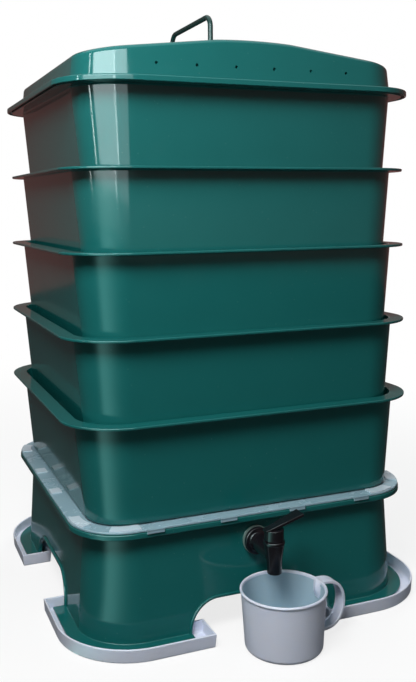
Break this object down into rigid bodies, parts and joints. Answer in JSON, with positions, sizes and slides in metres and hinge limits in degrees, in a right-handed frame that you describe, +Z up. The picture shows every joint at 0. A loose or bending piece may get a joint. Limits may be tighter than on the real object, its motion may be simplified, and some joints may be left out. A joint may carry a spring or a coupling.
{
  "type": "stacking wormery",
  "caption": "Stacking wormery with lid, nested trays, white collector tray, arched stand on corner ant moats, drain tap and measuring cup.",
  "frame": {"origin": "middle of the footprint of the stand, moats and cup, on the floor", "axes": "+Z up, -Y towards the tap and the cup, +X to the right seen from the tap side"},
  "size_m": [0.4314, 0.49, 0.688],
  "materials": {
    "green_plastic": "glossy moulded dark green plastic",
    "white_plastic": "milky white plastic that lets some light through",
    "black_plastic": "satin black moulded plastic",
    "washer_rubber": "grey green rubber",
    "seal_rubber": "black rubber",
    "coated_wire": "green coated steel rod",
    "clip_steel": "plain spring steel"
  },
  "bodies": {
    "root": {"ant_moat_front_left": "white_plastic", "ant_moat_front_right": "white_plastic", "ant_moat_back_left": "white_plastic", "ant_moat_back_right": "white_plastic"},
    "base": {"stand": "green_plastic", "collector_tray": "white_plastic", "tap_body": "black_plastic", "tap_washer_outer": "washer_rubber", "tap_washer_inner": "washer_rubber", "tap_back_nut": "black_plastic"},
    "tap_turner": {"tap_lever": "black_plastic", "tap_plug": "black_plastic", "tap_o_ring": "seal_rubber"},
    "bottom_tray": {"tray_5": "green_plastic"},
    "fourth_tray": {"tray_4": "green_plastic"},
    "middle_tray": {"tray_3": "green_plastic"},
    "second_tray": {"tray_2": "green_plastic"},
    "top_tray": {"tray_1": "green_plastic"},
    "lid_set": {"lid": "green_plastic", "lid_handle": "coated_wire", "lid_handle_clip_front": "clip_steel", "lid_handle_clip_back": "clip_steel"},
    "cup_body": {"cup": "white_plastic"}
  },
  "joints": [
    {"name": "stand_lift", "type": "slide", "parent": "root", "child": "base", "axis": [0, 0, 1], "range_m": [0, 0.03]},
    {"name": "tap_turn", "type": "hinge", "parent": "base", "child": "tap_turner", "pos_m": [-0.006, -0.1901, 0.1], "axis": [0, 0, -1], "range_deg": [0, 90]},
    {"name": "tray_5_lift", "type": "slide", "parent": "base", "child": "bottom_tray", "axis": [0, 0, 1], "range_m": [0, 0.03]},
    {"name": "tray_4_lift", "type": "slide", "parent": "bottom_tray", "child": "fourth_tray", "axis": [0, 0, 1], "range_m": [0, 0.04]},
    {"name": "tray_3_lift", "type": "slide", "parent": "fourth_tray", "child": "middle_tray", "axis": [0, 0, 1], "range_m": [0, 0.04]},
    {"name": "tray_2_lift", "type": "slide", "parent": "middle_tray", "child": "second_tray", "axis": [0, 0, 1], "range_m": [0, 0.04]},
    {"name": "tray_1_lift", "type": "slide", "parent": "second_tray", "child": "top_tray", "axis": [0, 0, 1], "range_m": [0, 0.04]},
    {"name": "lid_lift", "type": "slide", "parent": "top_tray", "child": "lid_set", "axis": [0, 0, 1], "range_m": [0, 0.04]},
    {"name": "cup_slide", "type": "slide", "parent": "root", "child": "cup_body", "axis": [0, -1, 0], "range_m": [0, 0.12]}
  ]
}
